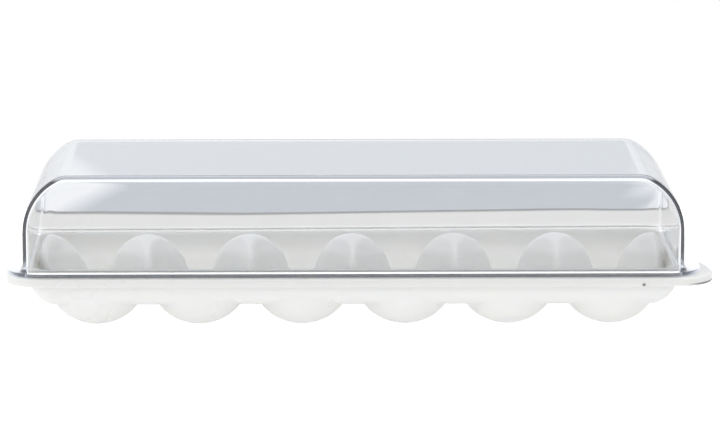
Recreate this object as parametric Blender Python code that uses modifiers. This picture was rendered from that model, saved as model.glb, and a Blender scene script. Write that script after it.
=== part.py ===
"""Covered egg carton: a moulded tray with two rows of six egg cups, and a clear lift-off lid.

Metres, +Z up. The origin is the middle of the footprint, on the surface that the cups stand on.
+X runs along the length towards the finger tab, and +Y from the front row to the back one.
"""
from math import atan2, cos, hypot, pi, sin, sqrt

import bmesh
import bpy

# Egg cups: the pitch and the bowl suit a hen's egg of about 44 mm by 60 mm.
COLUMNS, ROWS = 6, 2
PITCH = 0.050
WALL = 0.0016                 # the tray's moulded wall
CUP_RADIUS = 0.0239           # inside of a bowl
CUP_CENTRE = 0.02504          # height of the bowl's centre: just low enough to flatten the foot
CUP_FLARE = 9                 # steepness of a bowl's mouth, above its centre
FLOOR_TOP = 0.0121            # upper face of the web between the cups
FOOT_TOP = WALL - 0.00006     # upper face of a cup's flat foot, whose tilted corners thicken less

# Domes that stand between the rows and keep the eggs apart.
DOME_TOP = 0.039
DOME_RADIUS = 0.0193
DOME_FULLNESS = 2.4           # 2 is an ellipse; more is squarer at the shoulder
END_DOME_CENTRE = 0.1480      # the two end domes are pressed flat against the end walls
END_DOME_REACH = 0.0066

# Tray wall and rim.
PAN_HALF_LENGTH, PAN_HALF_DEPTH = 0.1550, 0.0506      # inner face of the wall
PAN_CORNER = 0.0105
WALL_FILLET_WIDTH = 0.018
WALL_FILLET_TOP = 0.0242
RIB_TOP = 0.0310              # the wall's top stands inside the lid and locates it
RIM_TOP, RIM_BOTTOM = 0.0285, 0.0242
RIM_HALF_LENGTH, RIM_HALF_DEPTH = 0.1675, 0.0600
RIM_CORNER = 0.018
RIM_EDGE = 0.0007
TAB_REACH = 0.006             # finger tab: the rim's front +X corner stands out past the lid
TAB_FRONT, TAB_BACK = -0.042, -0.006                  # its full width ends, and it is gone

# Lid.
REST_GAP = 0.0003
LID_WALL = 0.0020
LID_TOP = 0.077
LID_HALF_LENGTH, LID_HALF_DEPTH = 0.1592, 0.0550
LID_SHOULDER = 0.0295         # radius that turns the ends into the top
LID_SHOULDER_DROP = 0.0275    # from the top down to that radius's centre
LID_EDGE = 0.0030             # radius of its front and back edges
LID_EDGE_SEGMENTS = 3
FLANGE_BOTTOM = RIM_TOP + REST_GAP
FLANGE_TOP = FLANGE_BOTTOM + 0.0020
CAVITY_OVERRUN = 0.005        # the hollow's cutter reaches this far out below the flange

MIDDLE_X = -TAB_REACH / 2     # the cups' middle, so that the footprint is centred
BLEND = 0.0015                # rounding where bowls, domes and floor meet
TRAY_CREASE, LID_CREASE = pi / 5, pi / 6      # edges sharper than these stay crisp
CORNER_STEPS = 8
SIDE_STEPS = 10               # points along the end that carries the tab
SHOULDER_STEPS = 12
# Lattice lines, measured from a cup's centre: the first pair bounds the flat foot.
CUP_LINES = (0.0032, 0.0090, 0.0145, 0.0195, 0.0232)
END_LINES = (0.0262, 0.0284, PAN_HALF_LENGTH - (COLUMNS - 1) / 2 * PITCH)
SIDE_LINES = (0.0247, PAN_HALF_DEPTH - (ROWS - 1) / 2 * PITCH)

COLLECTION = "egg_carton"


def clear_scene():
    for old in list(bpy.data.objects):
        bpy.data.objects.remove(old, do_unlink=True)


def new_collection(name):
    collection = bpy.data.collections.new(name)
    bpy.context.scene.collection.children.link(collection)
    return collection


def plastic(name, colour, roughness, transmission):
    material = bpy.data.materials.new(name)
    material.use_nodes = True
    shader = material.node_tree.nodes["Principled BSDF"]
    shader.inputs["Base Color"].default_value = (*colour, 1.0)
    shader.inputs["Roughness"].default_value = roughness
    shader.inputs["Metallic"].default_value = 0.0
    shader.inputs["Transmission Weight"].default_value = transmission
    return material


def mesh_object(name, mesh_data, collection, material=None):
    mesh = bpy.data.meshes.new(name)
    bmesh.ops.recalc_face_normals(mesh_data, faces=mesh_data.faces)
    mesh_data.to_mesh(mesh)
    mesh_data.free()
    if material:
        mesh.materials.append(material)
    piece = bpy.data.objects.new(name, mesh)
    collection.objects.link(piece)
    return piece


def as_cutter(piece):
    piece.hide_render = True
    piece.display_type = "WIRE"
    return piece


def add_boolean(piece, operation, other):
    boolean = piece.modifiers.new(operation.lower() + "_" + other.name, "BOOLEAN")
    boolean.operation = operation
    boolean.solver = "EXACT"
    boolean.object = other


def smooth_min(a, b, width=BLEND):
    """The lesser of two heights, with the crossing rounded over the given width."""
    near = max(width - abs(a - b), 0.0) / width
    return min(a, b) - near * near * width / 4


def smooth_max(a, b, width=BLEND):
    return -smooth_min(-a, -b, width)


# ---------------------------------------------------------------- outlines

def rounded_rectangle(low_x, high_x, half_depth, corner):
    """Points of a rectangle with round corners, anticlockwise from the +X +Y corner."""
    centres = ((high_x - corner, half_depth - corner, 0.0),
               (low_x + corner, half_depth - corner, pi / 2),
               (low_x + corner, corner - half_depth, pi),
               (high_x - corner, corner - half_depth, 3 * pi / 2))
    points = []
    for centre_x, centre_y, start in centres:
        for step in range(CORNER_STEPS + 1):
            angle = start + step * pi / 2 / CORNER_STEPS
            points.append((centre_x + corner * cos(angle), centre_y + corner * sin(angle)))
    side = half_depth - corner
    for step in range(1, SIDE_STEPS):
        points.append((high_x, side * (2 * step / SIDE_STEPS - 1)))
    return points


def with_tab(outline):
    """The outline with its front +X corner moved out, and an S curve back to the plain end."""
    moved = []
    for x, y in outline:
        share = min(max((TAB_BACK - y) / (TAB_BACK - TAB_FRONT), 0.0), 1.0)
        share = share * share * (3 - 2 * share)
        moved.append((x + TAB_REACH * share if x > 0 else x, y))
    return moved


def arch(inset, bottom):
    """The lid's outline seen from the front: upright ends, round shoulders and a flat top."""
    centre_x = LID_HALF_LENGTH - LID_SHOULDER
    centre_z = LID_TOP - LID_SHOULDER_DROP
    radius = LID_SHOULDER - inset
    drop = LID_SHOULDER_DROP - inset
    end_angle = atan2(drop, sqrt(radius * radius - drop * drop))
    half = [(LID_HALF_LENGTH - inset, bottom)]
    for step in range(SHOULDER_STEPS + 1):
        angle = end_angle * step / SHOULDER_STEPS
        half.append((centre_x + radius * cos(angle), centre_z + radius * sin(angle)))
    return half + [(-x, z) for x, z in reversed(half)]


def arch_prism(name, inset, bottom, collection, material=None):
    """The arch as a solid block, as deep as the lid less the inset on both sides."""
    half_depth = LID_HALF_DEPTH - inset
    data = bmesh.new()
    front = [data.verts.new((MIDDLE_X + x, -half_depth, z)) for x, z in arch(inset, bottom)]
    face = data.faces.new(front)
    grown = bmesh.ops.extrude_face_region(data, geom=[face])
    back = [item for item in grown["geom"] if isinstance(item, bmesh.types.BMVert)]
    bmesh.ops.translate(data, vec=(0.0, 2 * half_depth, 0.0), verts=back)
    return mesh_object(name, data, collection, material)


# -------------------------------------------------------------------- tray

def cup_height(x, y):
    """Upper face of the nearest bowl: a sphere with a flat foot, upright above its middle."""
    column = min(max(round(x / PITCH + (COLUMNS - 1) / 2), 0), COLUMNS - 1)
    row = min(max(round(y / PITCH + (ROWS - 1) / 2), 0), ROWS - 1)
    away = hypot(x - (column - (COLUMNS - 1) / 2) * PITCH, y - (row - (ROWS - 1) / 2) * PITCH)
    if away < CUP_RADIUS:
        bowl = CUP_CENTRE - sqrt(CUP_RADIUS ** 2 - away ** 2)
        return max(bowl, FOOT_TOP)
    return CUP_CENTRE + (away - CUP_RADIUS) * CUP_FLARE


def dome_height(x, y):
    """Upper face of the nearest dome, or the floor where there is none."""
    across = min(max(round(x / PITCH), -COLUMNS // 2), COLUMNS // 2)
    if abs(across) < COLUMNS // 2:
        along = (x - across * PITCH) / DOME_RADIUS
    else:
        past = abs(x) - END_DOME_CENTRE
        inner_reach = END_DOME_CENTRE - (COLUMNS // 2 * PITCH - DOME_RADIUS)
        along = past / (END_DOME_REACH if past > 0 else inner_reach)
    spread = along ** 2 + (y / DOME_RADIUS) ** 2
    if spread >= 1:
        return FLOOR_TOP
    return FLOOR_TOP + (DOME_TOP - FLOOR_TOP) * (1 - spread) ** (1 / DOME_FULLNESS)


def wall_distance(x, y):
    """How far a point of the pan is from the inner face of its wall."""
    past_x = abs(x) - (PAN_HALF_LENGTH - PAN_CORNER)
    past_y = abs(y) - (PAN_HALF_DEPTH - PAN_CORNER)
    if past_x > 0 and past_y > 0:
        return PAN_CORNER - hypot(past_x, past_y)
    return PAN_CORNER - max(past_x, past_y)


def floor_height(x, y):
    """The floor, turned up at the wall by an elliptic fillet."""
    inwards = min(max(wall_distance(x, y) / WALL_FILLET_WIDTH, 0.0), 1.0)
    rise = 1 - sqrt(1 - (1 - inwards) ** 2)
    return FLOOR_TOP + (WALL_FILLET_TOP - FLOOR_TOP) * rise


def tray_height(x, y):
    raised = smooth_max(floor_height(x, y), dome_height(x, y))
    return smooth_min(raised, cup_height(x, y))


def lattice_lines(count, outer_lines):
    """Lattice lines across a number of cups, with closer ones where the outer wall rises."""
    last = (count - 1) / 2 * PITCH
    lines = []
    for cup in range(count):
        middle = (cup - (count - 1) / 2) * PITCH
        lines += [middle + side * offset for offset in CUP_LINES for side in (-1, 1)]
    lines += [side * (last + offset) for offset in outer_lines for side in (-1, 1)]
    return sorted(lines)


def round_the_corner(x, y):
    """Moves a lattice point near a square corner into the pan's round corner."""
    centre_x, centre_y = PAN_HALF_LENGTH - PAN_CORNER, PAN_HALF_DEPTH - PAN_CORNER
    u, v = (abs(x) - centre_x) / PAN_CORNER, (abs(y) - centre_y) / PAN_CORNER
    if u <= 0 or v <= 0:
        return x, y
    new_x = centre_x + PAN_CORNER * u * sqrt(1 - v * v / 2)
    new_y = centre_y + PAN_CORNER * v * sqrt(1 - u * u / 2)
    return (new_x if x > 0 else -new_x), (new_y if y > 0 else -new_y)


def make_pan(name, collection, material):
    """The cups, floor, domes and wall: one open lattice surface, thickened downwards."""
    lines_x = lattice_lines(COLUMNS, END_LINES)
    lines_y = lattice_lines(ROWS, SIDE_LINES)
    data = bmesh.new()
    bmesh.ops.create_grid(data, x_segments=len(lines_x) - 1, y_segments=len(lines_y) - 1, size=1.0)
    for vert in data.verts:
        column = round((vert.co.x + 1) / 2 * (len(lines_x) - 1))
        row = round((vert.co.y + 1) / 2 * (len(lines_y) - 1))
        x, y = round_the_corner(lines_x[column], lines_y[row])
        vert.co = (MIDDLE_X + x, y, tray_height(x, y))
    edge = [item for item in data.edges if item.is_boundary]
    grown = bmesh.ops.extrude_edge_only(data, edges=edge)
    for item in grown["geom"]:
        if isinstance(item, bmesh.types.BMVert):
            item.co.z = RIB_TOP
    pan = mesh_object(name, data, collection, material)
    pan.data.shade_smooth()
    pan.data.set_sharp_from_angle(angle=TRAY_CREASE)
    shell = pan.modifiers.new("moulded wall", "SOLIDIFY")
    shell.thickness = WALL
    shell.offset = -1.0 if pan.data.polygons[0].normal.z > 0 else 1.0
    return pan


def make_rim(name, collection):
    """The rim round the tray: a flat top, a short skirt and the finger tab."""
    def outer(inset):
        return with_tab(rounded_rectangle(MIDDLE_X - RIM_HALF_LENGTH + inset,
                                          MIDDLE_X + RIM_HALF_LENGTH - inset,
                                          RIM_HALF_DEPTH - inset, RIM_CORNER - inset))

    half_wall = WALL / 2
    inner = rounded_rectangle(MIDDLE_X - PAN_HALF_LENGTH - half_wall,
                              MIDDLE_X + PAN_HALF_LENGTH + half_wall,
                              PAN_HALF_DEPTH + half_wall, PAN_CORNER + half_wall)
    section = ((outer(0.0), RIM_BOTTOM), (outer(0.0), RIM_TOP - RIM_EDGE),
               (outer(RIM_EDGE), RIM_TOP), (inner, RIM_TOP), (inner, RIM_TOP - WALL),
               (outer(WALL), RIM_TOP - WALL), (outer(WALL), RIM_BOTTOM))
    data = bmesh.new()
    loops = [[data.verts.new((x, y, z)) for x, y in outline] for outline, z in section]
    for number, loop in enumerate(loops):
        following = loops[(number + 1) % len(loops)]
        for index in range(len(loop)):
            after = (index + 1) % len(loop)
            data.faces.new((loop[index], loop[after], following[after], following[index]))
    return mesh_object(name, data, collection)


def make_tray(parts, cutters):
    material = plastic("milky_plastic", (0.90, 0.90, 0.88), 0.25, 0.2)
    tray = make_pan("tray", parts, material)
    rim = as_cutter(make_rim("rim_shape", cutters))
    add_boolean(tray, "UNION", rim)
    return tray


# --------------------------------------------------------------------- lid

def make_lid(parts, cutters):
    """A clear cover: an arched shell on a flat flange that rests on the tray's rim."""
    material = plastic("clear_plastic", (0.93, 0.95, 0.98), 0.05, 1.0)
    inside_flange = (FLANGE_BOTTOM + FLANGE_TOP) / 2
    lid = arch_prism("lid", 0.0, inside_flange, parts, material)
    bevel = lid.modifiers.new("rounded front and back edges", "BEVEL")
    bevel.width = LID_EDGE
    bevel.segments = LID_EDGE_SEGMENTS
    bevel.limit_method = "ANGLE"
    bevel.angle_limit = pi / 3

    data = bmesh.new()
    outline = rounded_rectangle(MIDDLE_X - RIM_HALF_LENGTH, MIDDLE_X + RIM_HALF_LENGTH,
                                RIM_HALF_DEPTH, RIM_CORNER)
    plate = data.faces.new([data.verts.new((x, y, FLANGE_BOTTOM)) for x, y in outline])
    grown = bmesh.ops.extrude_face_region(data, geom=[plate])
    top = [item for item in grown["geom"] if isinstance(item, bmesh.types.BMVert)]
    bmesh.ops.translate(data, vec=(0.0, 0.0, FLANGE_TOP - FLANGE_BOTTOM), verts=top)
    flange = as_cutter(mesh_object("flange_shape", data, cutters))

    cavity = as_cutter(arch_prism("cavity_shape", LID_WALL, FLANGE_BOTTOM - CAVITY_OVERRUN, cutters))
    add_boolean(lid, "UNION", flange)
    add_boolean(lid, "DIFFERENCE", cavity)
    lid.data.shade_smooth()
    lid.data.set_sharp_from_angle(angle=LID_CREASE)
    return lid


def main():
    clear_scene()
    parts = new_collection(COLLECTION)
    cutters = new_collection("cutters")
    make_tray(parts, cutters)
    make_lid(parts, cutters)


main()
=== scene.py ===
"""Looks of the covered egg carton: a milky moulded tray with twelve egg cups under a clear lid.

Both mouldings are rebuilt here at full fineness inside the boxes of their CAD nodes, and each
rides on its own body, so the lid lifts away from the tray.
"""
from math import atan2, cos, pi, radians, sin, sqrt

import bmesh
import bpy
import numpy as np
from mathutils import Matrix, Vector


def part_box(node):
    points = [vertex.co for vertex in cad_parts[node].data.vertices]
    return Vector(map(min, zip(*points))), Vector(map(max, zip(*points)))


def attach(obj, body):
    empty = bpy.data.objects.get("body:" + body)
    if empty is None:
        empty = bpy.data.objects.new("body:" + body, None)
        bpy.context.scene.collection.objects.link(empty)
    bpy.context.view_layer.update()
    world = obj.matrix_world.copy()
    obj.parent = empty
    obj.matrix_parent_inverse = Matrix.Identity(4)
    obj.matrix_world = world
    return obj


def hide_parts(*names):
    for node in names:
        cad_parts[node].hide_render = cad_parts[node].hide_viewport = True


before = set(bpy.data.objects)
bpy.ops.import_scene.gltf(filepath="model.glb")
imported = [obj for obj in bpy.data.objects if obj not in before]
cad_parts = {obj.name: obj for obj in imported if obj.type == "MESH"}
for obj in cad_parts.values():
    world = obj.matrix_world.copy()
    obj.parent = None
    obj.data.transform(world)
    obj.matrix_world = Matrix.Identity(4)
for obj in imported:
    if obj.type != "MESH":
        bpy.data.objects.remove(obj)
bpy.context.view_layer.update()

LID_LOW, LID_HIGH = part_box("lid")
TRAY_LOW, TRAY_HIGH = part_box("tray")

# ------------------------------------------------------------ driving dimensions

MIDDLE_X = (LID_LOW.x + LID_HIGH.x) / 2      # the cups' middle
RIM_HALF_LENGTH = (LID_HIGH.x - LID_LOW.x) / 2
RIM_HALF_DEPTH = LID_HIGH.y
TAB_REACH = TRAY_HIGH.x - LID_HIGH.x         # finger tab past the lid, at the front +X corner
TAB_FRONT, TAB_BACK = -0.042, -0.006         # its full width ends, and it is gone
RIM_CORNER = 0.018

COLUMNS, ROWS = 6, 2
PITCH = 0.050
WALL = 0.0016                                # the tray's moulded wall
CUP_RADIUS = 0.0239                          # inside of a bowl
CUP_CENTRE = 0.02504                         # height of the bowl's centre
CUP_FLARE = 2.8                              # steepness of a bowl's mouth above its centre
FLOOR_TOP = 0.0121                           # upper face of the web between the cups
FOOT_TOP = WALL
DOME_TOP = 0.039
DOME_RADIUS = 0.0193
DOME_FULLNESS = 2.4                          # 2 is an ellipse; more is squarer at the shoulder
END_DOME_CENTRE = 0.1480                     # the end domes are pressed flat against the end walls
END_DOME_REACH = 0.0066
PAN_HALF_LENGTH, PAN_HALF_DEPTH = 0.1550, 0.0506
PAN_CORNER = 0.0105
WALL_FILLET_WIDTH = 0.018
WALL_FILLET_TOP = 0.0242
WALL_STEEPNESS = 20                          # of the pan's wall beyond its fillet
RIB_TOP = 0.0310                             # the wall's top stands inside the lid and locates it
REST_GAP = 0.0003                            # between the rim and the lid that rests on it
RIM_TOP = LID_LOW.z - REST_GAP
RIM_BOTTOM = 0.0242
BLEND = 0.0025                               # rounding where bowls, domes and floor meet
LATTICE_STEP = 0.0010
GATE_MARK = (0.1360, -RIM_HALF_DEPTH, 0.0251)

LID_WALL = 0.0020
LID_TOP = LID_HIGH.z
LID_HALF_LENGTH, LID_HALF_DEPTH = 0.1588, 0.0550
LID_SHOULDER = 0.0295                        # radius that turns the ends into the top
LID_SHOULDER_DROP = 0.0275                   # from the top down to that radius's centre
LID_SHOULDER_BLEND = 0.0120                  # softens the meeting of shoulder and top
LID_EDGE = 0.0030                            # radius of the front and back edges, and inside them
LID_INNER_EDGE = 0.0012
FLANGE_BOTTOM = LID_LOW.z
FLANGE_TOP = FLANGE_BOTTOM + 0.0020
FLANGE_FILLET = 0.0020
FLANGE_EDGE = 0.0003
BODY_START = 0.0005                          # the walls' loops start this far above the flange's
# Lattice lines of the lid, closer together beside the flange's round corners.
DEPTH_LINES = (-0.049, -0.046, -0.044, -0.042, -0.030, -0.015)
LENGTH_LINES = (0.153, 0.150, 0.147, 0.142, 0.10, 0.05)


# --------------------------------------------------------------------- outlines

def past_outline(x, y, low_x, high_x, half_depth, corner):
    """Signed distance outside a rectangle with round corners: negative inside it."""
    middle, half_length = (low_x + high_x) / 2, (high_x - low_x) / 2
    past_x = np.abs(x - middle) - (half_length - corner)
    past_y = np.abs(y) - (half_depth - corner)
    around = np.hypot(np.maximum(past_x, 0), np.maximum(past_y, 0))
    return around + np.minimum(np.maximum(past_x, past_y), 0) - corner


def reach_outline(points, normals, outline):
    """Where the rays from points along normals meet an outline, by bisection."""
    near, far = np.zeros(len(points)), np.full(len(points), 0.05)
    for _ in range(40):
        middle = (near + far) / 2
        x = points[:, 0] + normals[:, 0] * middle
        y = points[:, 1] + normals[:, 1] * middle
        outside = past_outline(x, y, *outline) > 0
        far = np.where(outside, middle, far)
        near = np.where(outside, near, middle)
    return points + normals * near[:, None]


def with_tab(points):
    """The outline with its front +X corner drawn out into the finger tab."""
    share = np.clip((TAB_BACK - points[:, 1]) / (TAB_BACK - TAB_FRONT), 0, 1)
    drawn = TAB_REACH * share * share * (3 - 2 * share)
    at_end = points[:, 0] > MIDDLE_X + RIM_HALF_LENGTH - RIM_CORNER
    return points + np.stack((np.where(at_end, drawn, 0), np.zeros(len(points))), axis=1)


def quarter_round(radius, steps):
    """(inwards, up) offsets along a quarter circle, from its foot to its crown."""
    for step in range(steps + 1):
        angle = step * pi / 2 / steps
        yield radius * (1 - cos(angle)), radius * sin(angle)


# ------------------------------------------------------------------ mesh helpers

def stitch(mesh, first, second):
    """Faces between two closed loops that have the same number of vertices."""
    count = len(first)
    for index in range(count):
        after = (index + 1) % count
        mesh.faces.new((first[index], first[after], second[after], second[index]))


def loop_of(mesh, points, height):
    heights = np.broadcast_to(height, len(points))
    return [mesh.verts.new((x, y, z)) for (x, y), z in zip(points, heights)]


def finished(name, mesh, material, sharp_angle, body, node):
    """Turns the built mesh into a piece that rides on a body and replaces its CAD node."""
    bmesh.ops.recalc_face_normals(mesh, faces=mesh.faces)
    data = bpy.data.meshes.new(name)
    mesh.to_mesh(data)
    mesh.free()
    data.materials.append(material)
    data.shade_smooth()
    data.set_sharp_from_angle(angle=sharp_angle)
    piece = bpy.data.objects.new(name, data)
    bpy.context.scene.collection.objects.link(piece)
    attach(piece, body)
    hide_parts(node)
    return piece


# ------------------------------------------------------------------ tray surface

def smooth_min(a, b, width=BLEND):
    near = np.maximum(width - np.abs(a - b), 0) / width
    return np.minimum(a, b) - near * near * width / 4


def smooth_max(a, b, width=BLEND):
    return -smooth_min(-a, -b, width)


def nearest(value, count):
    """The middle of the nearest of a number of cups along one direction."""
    number = np.clip(np.round(value / PITCH + (count - 1) / 2), 0, count - 1)
    return (number - (count - 1) / 2) * PITCH


def cup_height(x, y):
    away = np.hypot(x - nearest(x, COLUMNS), y - nearest(y, ROWS))
    inside = np.sqrt(np.maximum(CUP_RADIUS ** 2 - away ** 2, 0))
    mouth = CUP_CENTRE + (away - CUP_RADIUS) * CUP_FLARE
    bowl = np.where(away < CUP_RADIUS, CUP_CENTRE - inside, mouth)
    return np.maximum(bowl, FOOT_TOP)


def dome_height(x, y):
    across = np.clip(np.round(x / PITCH), -COLUMNS / 2, COLUMNS / 2)
    along = (x - across * PITCH) / DOME_RADIUS
    past = np.abs(x) - END_DOME_CENTRE
    inner_reach = END_DOME_CENTRE - (COLUMNS / 2 * PITCH - DOME_RADIUS)
    end_along = past / np.where(past > 0, END_DOME_REACH, inner_reach)
    along = np.where(np.abs(across) < COLUMNS / 2, along, end_along)
    left = np.maximum(1 - along ** 2 - (y / DOME_RADIUS) ** 2, 0)
    return FLOOR_TOP + (DOME_TOP - FLOOR_TOP) * left ** (1 / DOME_FULLNESS)


def floor_height(x, y):
    past = past_outline(x, y, -PAN_HALF_LENGTH, PAN_HALF_LENGTH, PAN_HALF_DEPTH, PAN_CORNER)
    inwards = np.clip(-past / WALL_FILLET_WIDTH, 0, 1)
    rise = 1 - np.sqrt(1 - (1 - inwards) ** 2)
    upright = np.maximum(past, 0) * WALL_STEEPNESS
    return FLOOR_TOP + (WALL_FILLET_TOP - FLOOR_TOP) * rise + upright


def upper_height(x, y):
    """The tray's upper face: floor, wall fillet and domes, cut by the bowls."""
    raised = smooth_max(floor_height(x, y), dome_height(x, y))
    return smooth_min(raised, cup_height(x, y))


def lower_height(x, y):
    """The tray's lower face, one wall's thickness from the upper one in every direction."""
    lowest = upper_height(x, y) - WALL
    for reach, count in ((0.5, 8), (0.97, 16)):
        for number in range(count):
            angle = number * 2 * pi / count
            beside = upper_height(x + WALL * reach * cos(angle), y + WALL * reach * sin(angle))
            lowest = np.minimum(lowest, beside - WALL * sqrt(1 - reach * reach))
    return lowest


def pan_lattice(outset):
    """Plan positions over the pan, with its square corners drawn in to round ones."""
    half_length, half_depth = PAN_HALF_LENGTH + outset, PAN_HALF_DEPTH + outset
    corner = PAN_CORNER + outset
    columns = round(2 * PAN_HALF_LENGTH / LATTICE_STEP) + 1
    rows = round(2 * PAN_HALF_DEPTH / LATTICE_STEP) + 1
    x, y = np.meshgrid(np.linspace(-half_length, half_length, columns),
                       np.linspace(-half_depth, half_depth, rows), indexing="ij")
    u = np.maximum(np.abs(x) - (half_length - corner), 0) / corner
    v = np.maximum(np.abs(y) - (half_depth - corner), 0) / corner
    in_corner = (u > 0) & (v > 0)
    new_x = np.sign(x) * (half_length - corner + corner * u * np.sqrt(1 - v * v / 2))
    new_y = np.sign(y) * (half_depth - corner + corner * v * np.sqrt(1 - u * u / 2))
    return np.where(in_corner, new_x, x), np.where(in_corner, new_y, y)


def sheet(mesh, x, y, z):
    """A lattice of quads. Returns its vertices as rows."""
    verts = [[mesh.verts.new((MIDDLE_X + x[i, j], y[i, j], z[i, j])) for j in range(x.shape[1])]
             for i in range(x.shape[0])]
    for near_row, far_row in zip(verts, verts[1:]):
        for j in range(len(near_row) - 1):
            mesh.faces.new((near_row[j], far_row[j], far_row[j + 1], near_row[j + 1]))
    return verts


def around(rows):
    """The border of a lattice of vertices, anticlockwise from its first corner."""
    bottom = [row[0] for row in rows]
    right = rows[-1][1:]
    top = [row[-1] for row in rows[-2::-1]]
    left = rows[0][-2:0:-1]
    return bottom + right + top + left


def plan_normals(points, centre_x, half_length, half_depth, corner):
    """Outward directions of points that lie on a rectangle with round corners."""
    x, y = points[:, 0] - centre_x, points[:, 1]
    away_x = np.sign(x) * np.maximum(np.abs(x) - (half_length - corner), 0)
    away_y = np.sign(y) * np.maximum(np.abs(y) - (half_depth - corner), 0)
    away = np.stack((away_x, away_y), axis=1)
    return away / np.linalg.norm(away, axis=1)[:, None]


def tray_section(inner, normals, outer):
    """The wall's top, the rim and its skirt, as loops of plan points and heights."""
    round_top, fillet, edge, lip = WALL * 0.45, 0.0006, 0.0009, 0.0005

    def by_wall(offset):
        return inner + normals * offset

    def by_edge(inset):
        return outer - normals * inset

    for inwards, up in quarter_round(round_top, 4):
        yield by_wall(inwards), RIB_TOP - round_top + up
    for inwards, up in reversed(list(quarter_round(round_top, 4))):
        yield by_wall(WALL - inwards), RIB_TOP - round_top + up
    for inwards, up in quarter_round(fillet, 3):
        yield by_wall(WALL + inwards), RIM_TOP + fillet - up
    for inwards, up in reversed(list(quarter_round(edge, 5))):
        yield by_edge(inwards), RIM_TOP - edge + up
    for inwards, up in quarter_round(lip, 3):
        yield by_edge(inwards), RIM_BOTTOM + lip - up
    yield by_edge(WALL), RIM_BOTTOM
    yield by_edge(WALL), RIM_TOP - WALL
    yield by_wall(WALL), RIM_TOP - WALL


def build_tray(material):
    mesh = bmesh.new()
    x, y = pan_lattice(0.0)
    upper = sheet(mesh, x, y, upper_height(x, y))
    x, y = pan_lattice(WALL)
    lower = sheet(mesh, x, y, lower_height(x, y))
    border = around(upper)
    inner = np.array([vert.co[:2] for vert in border])
    normals = plan_normals(inner, MIDDLE_X, PAN_HALF_LENGTH, PAN_HALF_DEPTH, PAN_CORNER)
    rim = (MIDDLE_X - RIM_HALF_LENGTH, MIDDLE_X + RIM_HALF_LENGTH,
           RIM_HALF_DEPTH, RIM_CORNER)
    outer = with_tab(reach_outline(inner, normals, rim))
    for points, height in tray_section(inner, normals, outer):
        following = loop_of(mesh, points, height)
        stitch(mesh, border, following)
        border = following
    stitch(mesh, border, around(lower))
    return finished("tray_moulding", mesh, material, radians(50), "tray", "tray")


# ----------------------------------------------------------------------- lid

def arch(inset, bottom):
    """The lid's outline seen from the front, from its right foot over the top to its left."""
    centre_x = LID_HALF_LENGTH - LID_SHOULDER
    centre_z = LID_TOP - LID_SHOULDER_DROP
    blend_z = LID_TOP - LID_SHOULDER_BLEND
    blend_x = centre_x + sqrt((LID_SHOULDER - LID_SHOULDER_BLEND) ** 2 - (blend_z - centre_z) ** 2)
    end_angle = atan2(blend_z - centre_z, blend_x - centre_x)
    half = [(LID_HALF_LENGTH - inset, z) for z in np.linspace(bottom, centre_z, 6)[:-1]]
    radius = LID_SHOULDER - inset
    for angle in np.linspace(0, end_angle, 18):
        half.append((centre_x + radius * cos(angle), centre_z + radius * sin(angle)))
    radius = LID_SHOULDER_BLEND - inset
    for angle in np.linspace(end_angle, pi / 2, 8)[1:]:
        half.append((blend_x + radius * cos(angle), blend_z + radius * sin(angle)))
    half += [(x, LID_TOP - inset) for x in np.linspace(blend_x, 0, 8)[1:-1]]
    return half + [(0.0, LID_TOP - inset)] + [(-x, z) for x, z in reversed(half)]


def depth_stations(wall, edge):
    """(inset, y) along the lid's depth, with a quarter round at both ends."""
    front = [(wall + edge - up, wall + inwards - LID_HALF_DEPTH)
             for inwards, up in quarter_round(edge, 8)]
    run = [(wall, y) for y in DEPTH_LINES]
    half = front + run
    return half + [(wall, 0.0)] + [(inset, -y) for inset, y in reversed(half)]


def arch_shell(mesh, wall, edge, bottom):
    """One face of the lid's body. Returns the closed loop of its lower border."""
    ribs = []
    for inset, y in depth_stations(wall, edge):
        ribs.append([mesh.verts.new((MIDDLE_X + x, y, z)) for x, z in arch(inset, bottom)])
    for near_rib, far_rib in zip(ribs, ribs[1:]):
        for j in range(len(near_rib) - 1):
            mesh.faces.new((near_rib[j], far_rib[j], far_rib[j + 1], near_rib[j + 1]))
    half = LID_HALF_LENGTH - wall - edge
    spread = [side * x for side in (-1, 1) for x in LENGTH_LINES]
    between = [x for x in sorted(spread + [0.0]) if abs(x) < half - 0.0005]
    feet = {}
    for side, rib in ((-1, ribs[0]), (1, ribs[-1])):
        feet[side] = [mesh.verts.new((MIDDLE_X + x, rib[0].co.y, bottom)) for x in between]
        mesh.faces.new(rib + feet[side])
    right = [rib[0] for rib in ribs]
    left = [rib[-1] for rib in reversed(ribs)]
    return right + feet[1][::-1] + left + feet[-1]


def lid_section(body, normals, outer, inner):
    """From the body's wall down its fillet, round the flange and back in under it."""
    for inwards, up in quarter_round(FLANGE_FILLET, 5):
        yield body + normals * inwards, FLANGE_TOP + FLANGE_FILLET - up
    for inwards, up in reversed(list(quarter_round(FLANGE_EDGE, 5))):
        yield outer - normals * inwards, FLANGE_TOP - FLANGE_EDGE + up
    for inwards, up in quarter_round(FLANGE_EDGE, 5):
        yield outer - normals * inwards, FLANGE_BOTTOM + FLANGE_EDGE - up
    yield inner, FLANGE_BOTTOM


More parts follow.
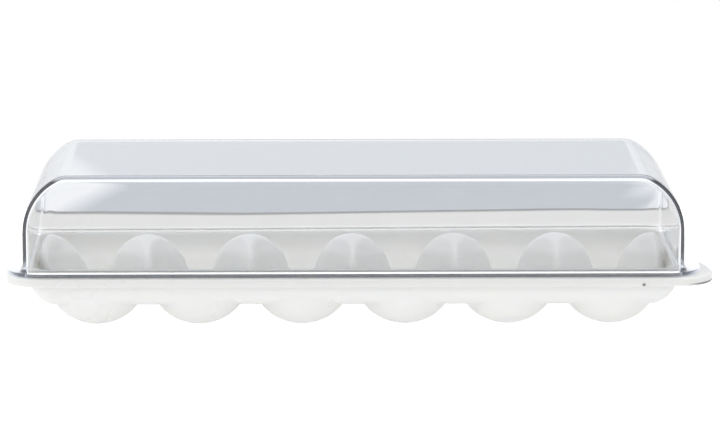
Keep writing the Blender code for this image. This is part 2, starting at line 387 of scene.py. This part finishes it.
def build_lid(material):
    mesh = bmesh.new()
    outside = arch_shell(mesh, 0.0, LID_EDGE, FLANGE_TOP + FLANGE_FILLET + BODY_START)
    inside = arch_shell(mesh, LID_WALL, LID_INNER_EDGE, FLANGE_BOTTOM + BODY_START)
    body = np.array([vert.co[:2] for vert in outside])
    inner = np.array([vert.co[:2] for vert in inside])
    normals = plan_normals(body, MIDDLE_X, LID_HALF_LENGTH, LID_HALF_DEPTH, LID_EDGE)
    flange = (MIDDLE_X - RIM_HALF_LENGTH, MIDDLE_X + RIM_HALF_LENGTH,
              RIM_HALF_DEPTH, RIM_CORNER)
    outer = reach_outline(body, normals, flange)
    border = outside
    for points, height in lid_section(body, normals, outer, inner):
        following = loop_of(mesh, points, height)
        stitch(mesh, border, following)
        border = following
    stitch(mesh, border, inside)
    return finished("lid_moulding", mesh, material, radians(15), "lid", "lid")


# ------------------------------------------------------------------- materials

PLASTIC_IOR = 1.49
WHITE_LOW, WHITE_HIGH = (0.79, 0.80, 0.79), (0.83, 0.83, 0.82)        # the tray's cloudy white
# painted light: the tray's upper parts, the tops of its domes, are lighter than its hollows
DOME_PAINTED_LIGHT = (0.94, 0.935, 0.925)
# painted shade: the rim and its skirt, which lie under the lid's flange, are darker
RIM_PAINTED_SHADE = (0.66, 0.665, 0.665)
TAB_PAINTED_SHADOW = (0.16, 0.17, 0.19)                # painted shadow: a dark line along the tab's lower edge
TAB_SHADOW_LOW, TAB_SHADOW_HIGH = 0.0009, 0.0015          # above the rim's bottom: full, and gone
TAB_SHADOW_FADE = 0.0080
GATE_COLOUR = (0.16, 0.18, 0.16)
GATE_RADIUS, GATE_FADE = 0.0005, 0.0011

CLEAR = (0.99, 0.993, 0.997)
WALL_COLOUR, WALL_DENSITY = (0.74, 0.79, 0.85, 1), 16.0
FLANGE_EDGE_PAINTED_SHADE = (0.30, 0.31, 0.35)               # painted shade on the flange's front edge
EDGE_FULL, EDGE_GONE = -0.0565, -0.0480      # across the depth, round the flange's front corners
# painted light: the lid glows along its crown, on the faces of its end walls and shoulders, and at the
# flange's ends
CROWN_GLOW = (0.44, 0.46, 0.51)
CROWN_BACK_SHARE = 0.3                       # how much of the glow the back edge has
ARCH_GLOW = (0.085, 0.09, 0.105)
END_GLOW = (0.16, 0.165, 0.175)
DARK = (0.0, 0.0, 0.0)


def new_material(name):
    material = bpy.data.materials.new(name)
    material.use_nodes = True
    tree = material.node_tree
    return material, tree, tree.nodes["Principled BSDF"]


def add_node(tree, kind, **values):
    """A node with its inputs set by name."""
    node = tree.nodes.new(kind)
    for key, value in values.items():
        node.inputs[key.replace("_", " ")].default_value = value
    return node


def noise(tree, place, scale, detail):
    texture = add_node(tree, "ShaderNodeTexNoise", Scale=scale, Detail=detail)
    tree.links.new(place.outputs["Object"], texture.inputs["Vector"])
    return texture.outputs["Fac"]


def remap(tree, value, low, high, **ends):
    """The value carried from its own range to another one."""
    node = add_node(tree, "ShaderNodeMapRange", To_Min=low, To_Max=high, **ends)
    tree.links.new(value, node.inputs["Value"])
    return node.outputs["Result"]


def blend(tree, factor, first, second):
    """A colour between two: each is a colour, or another node's output."""
    node = tree.nodes.new("ShaderNodeMix")
    node.data_type = "RGBA"
    tree.links.new(factor, node.inputs["Factor"])
    for name, colour in (("A", first), ("B", second)):
        if isinstance(colour, tuple):
            node.inputs[name].default_value = (*colour, 1)
        else:
            tree.links.new(colour, node.inputs[name])
    return node.outputs["Result"]


def part_of(tree, vector, axis):
    """One coordinate of a vector."""
    split = tree.nodes.new("ShaderNodeSeparateXYZ")
    tree.links.new(vector, split.inputs["Vector"])
    return split.outputs[axis]


def calculate(tree, operation, first, second=None):
    """A sum on another node's output. The second term is a number or another output."""
    node = tree.nodes.new("ShaderNodeMath")
    node.operation = operation
    tree.links.new(first, node.inputs[0])
    if isinstance(second, float):
        node.inputs[1].default_value = second
    elif second is not None:
        tree.links.new(second, node.inputs[1])
    return node.outputs["Value"]


def past_body(tree, place, half_length, half_depth):
    """1 outside a rectangle in plan, and 0 inside it."""
    from_middle = calculate(tree, "SUBTRACT", part_of(tree, place.outputs["Object"], "X"), MIDDLE_X)
    length = calculate(tree, "ABSOLUTE", from_middle)
    depth = calculate(tree, "ABSOLUTE", part_of(tree, place.outputs["Object"], "Y"))
    past_end = remap(tree, length, 0.0, 1.0, From_Min=half_length, From_Max=half_length + 0.001)
    past_side = remap(tree, depth, 0.0, 1.0, From_Min=half_depth, From_Max=half_depth + 0.001)
    return calculate(tree, "MAXIMUM", past_end, past_side)


def raise_grain(tree, shader, height, strength, distance):
    bump = add_node(tree, "ShaderNodeBump", Strength=strength, Distance=distance)
    tree.links.new(height, bump.inputs["Height"])
    tree.links.new(bump.outputs["Normal"], shader.inputs["Normal"])


def milky_plastic():
    """Translucent white plastic with a soft gloss, a fine grain and the mark of its gate.

    Painted light lightens its domes, painted shade darkens its rim, and a painted shadow line follows
    the tab.
    """
    material, tree, shader = new_material("milky_plastic")
    shader.inputs["Subsurface Weight"].default_value = 1.0
    shader.inputs["Subsurface Radius"].default_value = (1.0, 0.95, 0.85)
    shader.inputs["Subsurface Scale"].default_value = 0.004
    shader.inputs["IOR"].default_value = PLASTIC_IOR
    place = tree.nodes.new("ShaderNodeTexCoord")
    cloud = noise(tree, place, 22.0, 3.0)
    white = blend(tree, cloud, WHITE_LOW, WHITE_HIGH)
    height = part_of(tree, place.outputs["Object"], "Z")
    # painted light: lighter above the rim's top, on the upper parts of the domes
    dome_light_mask = remap(tree, height, 0.0, 1.0, From_Min=RIM_TOP, From_Max=RIM_TOP + 0.0040)
    white = blend(tree, dome_light_mask, white, DOME_PAINTED_LIGHT)
    # painted shade: darker on the rim and its skirt
    rim_shade_mask = past_body(tree, place, PAN_HALF_LENGTH + 2 * WALL, PAN_HALF_DEPTH + 2 * WALL)
    white = blend(tree, rim_shade_mask, white, RIM_PAINTED_SHADE)
    # painted shadow: a dark line low on the skirt, towards the tab's end
    low = remap(tree, height, 1.0, 0.0, From_Min=RIM_BOTTOM + TAB_SHADOW_LOW,
                From_Max=RIM_BOTTOM + TAB_SHADOW_HIGH)
    rim_end = MIDDLE_X + RIM_HALF_LENGTH
    far = remap(tree, part_of(tree, place.outputs["Object"], "X"), 0.0, 1.0,
                From_Min=rim_end - TAB_SHADOW_FADE, From_Max=rim_end)
    white = blend(tree, calculate(tree, "MULTIPLY", low, far), white, TAB_PAINTED_SHADOW)
    away = tree.nodes.new("ShaderNodeVectorMath")
    away.operation = "DISTANCE"
    away.inputs[1].default_value = GATE_MARK
    tree.links.new(place.outputs["Object"], away.inputs[0])
    off_mark = remap(tree, away.outputs["Value"], 0.0, 1.0, From_Min=GATE_RADIUS, From_Max=GATE_FADE)
    colour = blend(tree, off_mark, GATE_COLOUR, white)
    tree.links.new(colour, shader.inputs["Base Color"])
    tree.links.new(remap(tree, cloud, 0.22, 0.36), shader.inputs["Roughness"])
    raise_grain(tree, shader, noise(tree, place, 900.0, 2.0), 0.12, 0.0002)
    return material


def at_flange_edge(tree, place):
    """1 on the flange's upright front edge, and 0 elsewhere on the lid."""
    height = part_of(tree, place.outputs["Object"], "Z")
    low = remap(tree, height, 1.0, 0.0, From_Min=FLANGE_TOP, From_Max=FLANGE_TOP + 0.0002)
    along = part_of(tree, place.outputs["Object"], "Y")
    front = remap(tree, along, 1.0, 0.0, From_Min=EDGE_FULL, From_Max=EDGE_GONE)
    facing = tree.nodes.new("ShaderNodeNewGeometry").outputs["Normal"]
    lean = calculate(tree, "ABSOLUTE", part_of(tree, facing, "Z"))
    upright = remap(tree, lean, 1.0, 0.0, From_Min=0.5, From_Max=0.8)
    return calculate(tree, "MULTIPLY", calculate(tree, "MULTIPLY", low, front), upright)


def at_crown(tree, place):
    """1 on the rounded front edge of the lid's flat top, less on the back one, and 0 elsewhere."""
    height = part_of(tree, place.outputs["Object"], "Z")
    high = remap(tree, height, 0.0, 1.0, From_Min=LID_TOP - LID_WALL - 0.0006,
                 From_Max=LID_TOP - 0.0012)
    along = part_of(tree, place.outputs["Object"], "Y")
    outer = remap(tree, calculate(tree, "ABSOLUTE", along), 0.0, 1.0,
                  From_Min=LID_HALF_DEPTH - LID_EDGE - 0.0010,
                  From_Max=LID_HALF_DEPTH - LID_EDGE + 0.0005)
    front = remap(tree, along, 1.0, CROWN_BACK_SHARE, From_Min=-LID_HALF_DEPTH,
                  From_Max=LID_HALF_DEPTH)
    return calculate(tree, "MULTIPLY", calculate(tree, "MULTIPLY", high, outer), front)


def at_arch(tree, place):
    """1 on the front and back faces of the lid's end walls and shoulders, and 0 elsewhere.

    Past the shoulder's centre, the square of the share of its radius is added for both axes.
    """
    past = []
    for axis, middle, centre in (("X", MIDDLE_X, LID_HALF_LENGTH - LID_SHOULDER),
                                 ("Z", 0.0, LID_TOP - LID_SHOULDER_DROP)):
        from_middle = calculate(tree, "SUBTRACT", part_of(tree, place.outputs["Object"], axis), middle)
        size = calculate(tree, "ABSOLUTE", from_middle)
        reach = remap(tree, size, 0.0, 1.0, From_Min=centre, From_Max=centre + LID_SHOULDER)
        past.append(calculate(tree, "MULTIPLY", reach, reach))
    away = calculate(tree, "ADD", *past)
    inner_face = (1 - LID_WALL / LID_SHOULDER) ** 2
    near = remap(tree, away, 0.0, 1.0, From_Min=inner_face - 0.02, From_Max=inner_face)
    depth = calculate(tree, "ABSOLUTE", part_of(tree, place.outputs["Object"], "Y"))
    end = remap(tree, depth, 0.0, 1.0, From_Min=LID_HALF_DEPTH - 0.0014,
                From_Max=LID_HALF_DEPTH - 0.0010)
    return calculate(tree, "MULTIPLY", near, end)


def clear_plastic():
    """Clear plastic, blue-grey along its walls, with painted shade at the flange's front edge.

    Painted light: a faint glow stands in for the light that the walls carry, along the crown, at the
    front and back faces of the end walls and shoulders, and at the flange's ends.
    """
    material, tree, shader = new_material("clear_plastic")
    shader.inputs["Transmission Weight"].default_value = 1.0
    shader.inputs["IOR"].default_value = PLASTIC_IOR
    depth = add_node(tree, "ShaderNodeVolumeAbsorption", Density=WALL_DENSITY, Color=WALL_COLOUR)
    tree.links.new(depth.outputs["Volume"], tree.nodes["Material Output"].inputs["Volume"])
    place = tree.nodes.new("ShaderNodeTexCoord")
    # painted shade: the flange's front edge is darkened
    colour = blend(tree, at_flange_edge(tree, place), CLEAR, FLANGE_EDGE_PAINTED_SHADE)
    tree.links.new(colour, shader.inputs["Base Color"])
    # painted light: emission laid on the lid's crown, arch faces and flange ends
    at_ends = past_body(tree, place, LID_HALF_LENGTH + 0.0005, RIM_HALF_DEPTH)
    dim = blend(tree, at_ends, DARK, END_GLOW)
    dim = blend(tree, at_arch(tree, place), dim, ARCH_GLOW)
    painted_glow = blend(tree, at_crown(tree, place), dim, CROWN_GLOW)
    tree.links.new(painted_glow, shader.inputs["Emission Color"])
    shader.inputs["Emission Strength"].default_value = 1.0
    tree.links.new(remap(tree, noise(tree, place, 14.0, 4.0), 0.0, 0.03), shader.inputs["Roughness"])
    raise_grain(tree, shader, noise(tree, place, 30.0, 1.0), 0.03, 0.0005)
    return material


# ---------------------------------------------------------------------- stage

FLOOR_BACK_EDGE = 0.272
FLOOR_SIZE = 2.6
FLOOR_DROP = 0.0002                          # below the feet
FLOOR_EDGE_SHADE = 0.008                     # width of the dark strip along the back edge
FLOOR_COLOUR, FLOOR_EDGE_PAINTED_SHADE = (0.50, 0.49, 0.48), (0.08, 0.08, 0.09)
FLOOR_GLOW_FRONT, FLOOR_GLOW_BACK = 0.48, 0.10
GLOW_FADE_START, GLOW_FADE_END = 0.06, 0.24  # across the depth
BARE_FLOOR_COLOUR, BARE_FLOOR_GLOW = (0.5, 0.5, 0.5), (0.8, 0.8, 0.8)

TOWARDS_LIGHT = (-0.42, -0.20, 0.85)
ROOM_DARK, ROOM_BRIGHT = (0.26, 0.30, 0.35), (1.55, 1.55, 1.54)
PANEL_LEFT, PANEL_RIGHT = -0.069, 0.083      # directions to the sides of a grey panel far behind
PANEL_FADE = 0.010
PANEL_FULL, PANEL_GONE = -0.10, 0.05         # heights of those directions
PANEL_COLOUR, BESIDE_PANEL = (0.53, 0.565, 0.615), (0.92, 0.93, 0.95)
BACKDROP = (1.0, 1.0, 1.0)

CAMERA_PLACE = (-0.0214, -1.813, 0.3947)
CAMERA_PITCH = radians(10.856)
CAMERA_YAW = radians(0.695)
CAMERA_LENS = 187.1


def build_floor():
    """A white table top, lit up so that the carton's own shadow stays faint."""
    mesh = bmesh.new()
    bmesh.ops.create_grid(mesh, x_segments=1, y_segments=1, size=FLOOR_SIZE / 2)
    bmesh.ops.translate(mesh, vec=(0, FLOOR_BACK_EDGE - FLOOR_SIZE / 2, -FLOOR_DROP),
                         verts=mesh.verts)
    data = bpy.data.meshes.new("floor")
    mesh.to_mesh(data)
    mesh.free()
    material, tree, shader = new_material("pale_floor")
    shader.inputs["Roughness"].default_value = 0.6
    place = tree.nodes.new("ShaderNodeTexCoord")
    along = part_of(tree, place.outputs["Object"], "Y")
    # painted shade: a dark strip along the floor's back edge, the shadow line at the table's edge
    edge = remap(tree, along, 0.0, 1.0, From_Min=FLOOR_BACK_EDGE - FLOOR_EDGE_SHADE,
                 From_Max=FLOOR_BACK_EDGE - FLOOR_EDGE_SHADE / 2)
    shaded = blend(tree, edge, FLOOR_COLOUR, FLOOR_EDGE_PAINTED_SHADE)
    glow = remap(tree, along, FLOOR_GLOW_FRONT, FLOOR_GLOW_BACK, From_Min=GLOW_FADE_START,
                 From_Max=GLOW_FADE_END)
    path = tree.nodes.new("ShaderNodeLightPath")
    seen = blend(tree, path.outputs["Is Camera Ray"], shaded, BARE_FLOOR_COLOUR)
    tree.links.new(seen, shader.inputs["Base Color"])
    lit = blend(tree, path.outputs["Is Camera Ray"], glow, BARE_FLOOR_GLOW)
    tree.links.new(lit, shader.inputs["Emission Color"])
    shader.inputs["Emission Strength"].default_value = 1.0
    data.materials.append(material)
    floor = bpy.data.objects.new("floor", data)
    bpy.context.scene.collection.objects.link(floor)


def build_world():
    """A pale studio, brightest above on the left, with a grey panel far behind and low down.

    The bare backdrop is plain white.
    """
    world = bpy.data.worlds.new("studio")
    bpy.context.scene.world = world
    world.use_nodes = True
    tree = world.node_tree
    place = tree.nodes.new("ShaderNodeTexCoord")
    towards = tree.nodes.new("ShaderNodeVectorMath")
    towards.operation = "DOT_PRODUCT"
    towards.inputs[1].default_value = TOWARDS_LIGHT
    tree.links.new(place.outputs["Generated"], towards.inputs[0])
    amount = remap(tree, towards.outputs["Value"], 0.0, 1.0, From_Min=-1.0, From_Max=1.0)
    room = blend(tree, amount, ROOM_DARK, ROOM_BRIGHT)
    below = remap(tree, part_of(tree, place.outputs["Generated"], "Z"), 1.0, 0.0,
                  From_Min=PANEL_FULL, From_Max=PANEL_GONE)
    across = part_of(tree, place.outputs["Generated"], "X")
    right = remap(tree, across, 0.0, 1.0, From_Min=PANEL_RIGHT, From_Max=PANEL_RIGHT + PANEL_FADE)
    left = remap(tree, across, 1.0, 0.0, From_Min=PANEL_LEFT - PANEL_FADE, From_Max=PANEL_LEFT)
    beside = calculate(tree, "MAXIMUM", left, right)
    low_room = blend(tree, beside, PANEL_COLOUR, BESIDE_PANEL)
    room = blend(tree, below, room, low_room)
    path = tree.nodes.new("ShaderNodeLightPath")
    seen = blend(tree, path.outputs["Is Camera Ray"], room, BACKDROP)
    tree.links.new(seen, tree.nodes["Background"].inputs["Color"])


def build_camera():
    camera = bpy.data.objects.new("camera", bpy.data.cameras.new("camera"))
    camera.data.lens = CAMERA_LENS
    camera.location = CAMERA_PLACE
    camera.rotation_euler = (pi / 2 - CAMERA_PITCH, 0, -CAMERA_YAW)
    bpy.context.scene.collection.objects.link(camera)
    bpy.context.scene.camera = camera


def build_stage():
    build_floor()
    build_world()
    bpy.context.scene.view_settings.view_transform = "Standard"
    build_camera()


build_stage()
build_tray(milky_plastic())
build_lid(clear_plastic())
